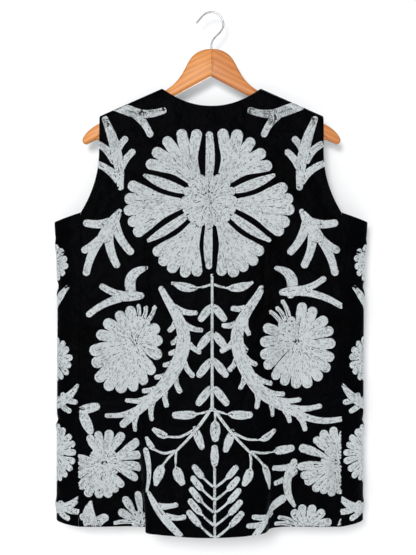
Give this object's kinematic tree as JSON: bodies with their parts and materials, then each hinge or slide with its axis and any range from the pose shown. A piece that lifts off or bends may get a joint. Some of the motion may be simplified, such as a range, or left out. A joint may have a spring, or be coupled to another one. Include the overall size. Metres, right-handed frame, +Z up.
{
  "type": "embroidered sleeveless jacket on a wooden coat hanger",
  "caption": "Boxy sleeveless jacket in black cloth with all-over silver flower embroidery, hung by its shoulders on a wooden coat hanger with a trouser bar and wire hook.",
  "frame": {"origin": "inside top of the hanger's hook, where a rail carries it", "axes": "+Z up, +X across the jacket to the right of someone facing its back, -Y out of the jacket's back"},
  "size_m": [0.5382, 0.0935, 0.8873],
  "materials": {
    "cloth": "black cloth covered in silver-grey chain stitch",
    "wood_light": "clear varnish",
    "wood_dark": "clear varnish",
    "steel": "bright wire"
  },
  "bodies": {
    "root": {"back_panel": "cloth", "side_panel_left": "cloth", "side_panel_right": "cloth", "front_left": "cloth", "front_right": "cloth", "hanger_arm_left": "wood_light", "hanger_arm_right": "wood_dark", "hanger_bar": "wood_light", "hanger_hook": "steel"}
  },
  "joints": []
}
